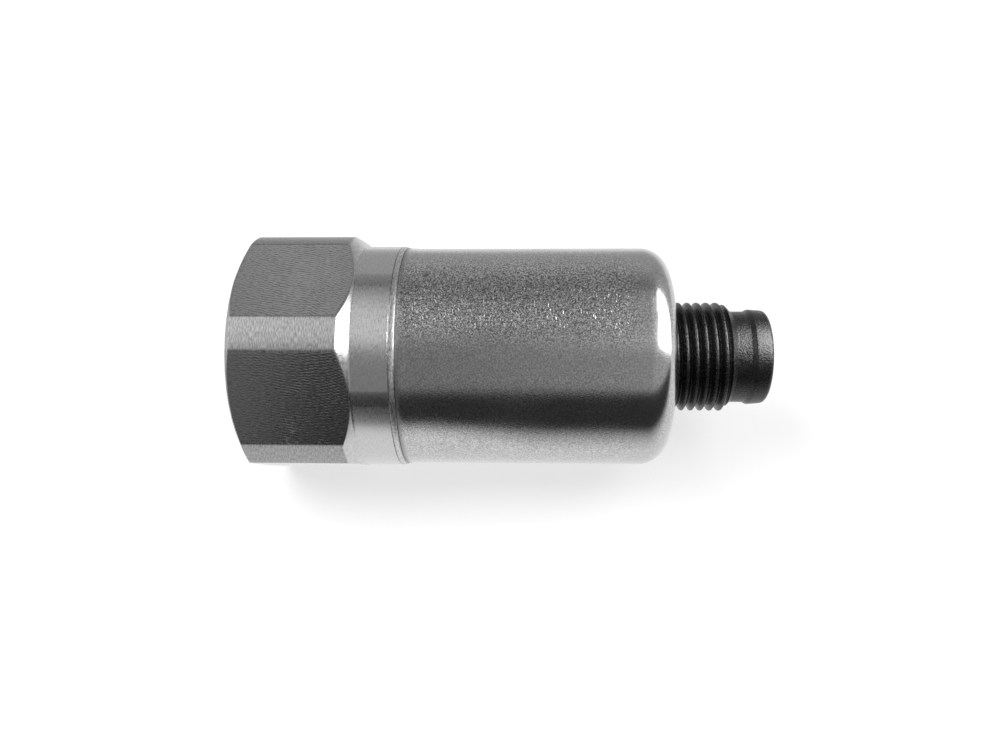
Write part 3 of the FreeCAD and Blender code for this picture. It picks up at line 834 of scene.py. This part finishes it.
def build_card(name, steps, place_at, look_at):
    """Glowing sheet that only reflections see.  look_at gives its brightness and cover:
    where the cover is under 1, reflections see past it."""
    columns, rows = steps
    points, looks, faces = [], [], []
    for i in range(columns + 1):
        for j in range(rows + 1):
            points.append(place_at(i / columns, j / rows))
            looks.append(look_at(i / columns, j / rows))
    for i in range(columns):
        for j in range(rows):
            a = i * (rows + 1) + j
            faces.append((a, a + 1, a + rows + 2, a + rows + 1))
    mesh = bpy.data.meshes.new(name)
    mesh.from_pydata(points, [], faces)
    material, n = new_material(name)
    held = []
    for k, title in enumerate(("brightness", "cover")):
        values = mesh.attributes.new(title, "FLOAT", "POINT")
        values.data.foreach_set("value", [look[k] for look in looks])
        held.append(n.add("ShaderNodeAttribute", attribute_name=title).outputs["Fac"])
    glow = n.add("ShaderNodeEmission", {"Color": grey(1.0), "Strength": held[0]}).outputs[0]
    clear = n.add("ShaderNodeBsdfTransparent").outputs[0]
    n.finish(n.add("ShaderNodeMixShader", {0: held[1], 1: clear, 2: glow}).outputs[0])
    mesh.materials.append(material)
    made = bpy.data.objects.new(name, mesh)
    bpy.context.scene.collection.objects.link(made)
    made.visible_camera = False
    made.visible_diffuse = False
    made.visible_transmission = False
    made.visible_shadow = False
    made.visible_volume_scatter = False
    made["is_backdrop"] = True


def build_dome():
    """Half dome of light and dark cards, all in one sheet."""
    radius = 0.6

    def angles(u, v):
        return -4 + 188 * u, -88 + 176 * v

    def place_at(u, v):
        turn, lean = (math.radians(a) for a in angles(u, v))
        return (radius * math.sin(lean), -radius * math.cos(lean) * math.cos(turn),
                radius * math.cos(lean) * math.sin(turn))

    def look_at(u, v):
        return brightness(*angles(u, v)), 1.0

    build_card("studio_dome", (128, 88), place_at, look_at)


def build_near_card():
    """Card above the plug, whose left edge stays clear of what the can reflects."""
    start, end, front, back, height = 0.054, 0.15, -0.022, 0.022, 0.032

    def place_at(u, v):
        return (start + (end - start) * u, front + (back - front) * v, height)

    def look_at(u, v):
        x, y, z = place_at(u, v)
        return 17.0, edge_ramp(x / MM, 60, 145, 2) * edge_ramp(y / MM, -16, 16, 6)

    build_card("studio_near_card", (60, 60), place_at, look_at)


def seen_directly(n):
    """1 for rays of the camera, of reflections and through glass, else 0."""
    path = n.add("ShaderNodeLightPath").outputs
    seen = n.math("MAXIMUM", path["Is Camera Ray"], path["Is Glossy Ray"])
    return n.math("MAXIMUM", seen, path["Is Transmission Ray"])


def build_floor(height):
    """Pale floor.  It keeps the shadow.  Reflections see it dark in front of a slanted line
    and bright behind that line, and dimmer again far behind the object."""
    size = 1.5
    mesh = bpy.data.meshes.new("floor")
    corners = [(-size, -size, height), (size, -size, height), (size, size, height),
               (-size, size, height)]
    mesh.from_pydata(corners, [], [(0, 1, 2, 3)])
    material, n = new_material("floor_paper")
    path = n.add("ShaderNodeLightPath").outputs
    x, y, z = n.add("ShaderNodeSeparateXYZ", {0: n.place()}).outputs
    paper = n.add("ShaderNodeBsdfDiffuse", {"Color": grey(0.82)}).outputs[0]
    white = n.add("ShaderNodeEmission", {"Color": grey(1.0), "Strength": 1.0}).outputs[0]
    away = n.math("SQRT", n.math("ADD", n.math("MULTIPLY", x, x), n.math("MULTIPLY", y, y)))
    whiteness = n.spread(away, 100.0, 350.0, 0.62, 1.0)
    seen = n.add("ShaderNodeMixShader", {0: whiteness, 1: paper, 2: white}).outputs[0]
    slant = n.math("MULTIPLY", n.math("MINIMUM", x, 30.0), -0.77)
    behind_line = n.spread(n.math("ADD", y, slant), -61.0, -40.0, 0.04, 0.95)
    far_back = n.spread(y, 45.0, 120.0, 1.0, 0.5)
    glow = n.math("MULTIPLY", behind_line, far_back)
    mirrored = n.add("ShaderNodeEmission", {"Color": grey(1.0), "Strength": glow}).outputs[0]
    mix = n.add("ShaderNodeMixShader", {0: path["Is Camera Ray"], 1: paper, 2: seen}).outputs[0]
    mix = n.add("ShaderNodeMixShader", {0: path["Is Glossy Ray"], 1: mix, 2: mirrored}).outputs[0]
    n.finish(mix)
    mesh.materials.append(material)
    made = bpy.data.objects.new("floor", mesh)
    bpy.context.scene.collection.objects.link(made)
    made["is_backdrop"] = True


def build_world():
    world = bpy.data.worlds.new("studio")
    bpy.context.scene.world = world
    world.use_nodes = True
    n = Nodes(world.node_tree)
    soft = n.add("ShaderNodeBackground", {"Color": grey(0.9), "Strength": 0.45}).outputs[0]
    white = n.add("ShaderNodeBackground", {"Color": grey(1.0), "Strength": 1.0}).outputs[0]
    mix = n.add("ShaderNodeMixShader", {0: seen_directly(n), 1: soft, 2: white}).outputs[0]
    out = n.add("ShaderNodeOutputWorld")
    n.tree.links.new(mix, out.inputs["Surface"])


def add_lamp(name, turn, lean, distance, size, power):
    """Soft lamp in the direction of a card.  Reflections show the card, not the lamp."""
    t, s = math.radians(turn), math.radians(lean)
    away = Vector((math.sin(s), -math.cos(s) * math.cos(t), math.cos(s) * math.sin(t)))
    data = bpy.data.lights.new(name, "AREA")
    data.shape = "DISK"
    data.size = size
    data.energy = power
    made = bpy.data.objects.new(name, data)
    made.location = Vector((0.027, 0, 0)) + away * distance
    made.rotation_euler = away.to_track_quat("Z", "Y").to_euler()
    made.visible_glossy = False
    bpy.context.scene.collection.objects.link(made)


def add_camera():
    """Camera above the front, close to the object, turned a little towards the port."""
    tilt, yaw, roll = math.radians(52.03), math.radians(2.24), 0.00365
    back = Vector((0, -math.cos(tilt), math.sin(tilt)))
    up = Vector((0, math.sin(tilt), math.cos(tilt)))
    along = Vector((1, 0, 0))
    place = along * 0.02993 + back * 0.09121 - up * 0.00207
    right = (along * math.cos(yaw) - back * math.sin(yaw) + up * roll).normalized()
    back = along * math.sin(yaw) + back * math.cos(yaw)
    back = (back - right * back.dot(right)).normalized()
    up = back.cross(right)
    data = bpy.data.cameras.new("camera")
    data.lens = 29.97
    data.sensor_width = 36.0
    data.clip_start = 0.002
    made = bpy.data.objects.new("camera", data)
    axes = Matrix((right, up, back)).transposed()
    made.matrix_world = Matrix.Translation(place) @ axes.to_4x4()
    bpy.context.scene.collection.objects.link(made)
    bpy.context.scene.camera = made


build_dome()
build_near_card()
build_floor(cad_box[0].z)
build_world()
add_lamp("overhead_left", 95, -35, 0.55, 0.4, 3.0)
add_lamp("overhead_right", 95, 40, 0.55, 0.4, 2.0)
add_lamp("front_fill", 35, 5, 0.7, 0.5, 1.5)
add_camera()
bpy.context.scene.view_settings.view_transform = "Standard"

boxes = {"cad": cad_box, "visual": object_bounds()}
{name: [list(corner) for corner in box] for name, box in boxes.items()}
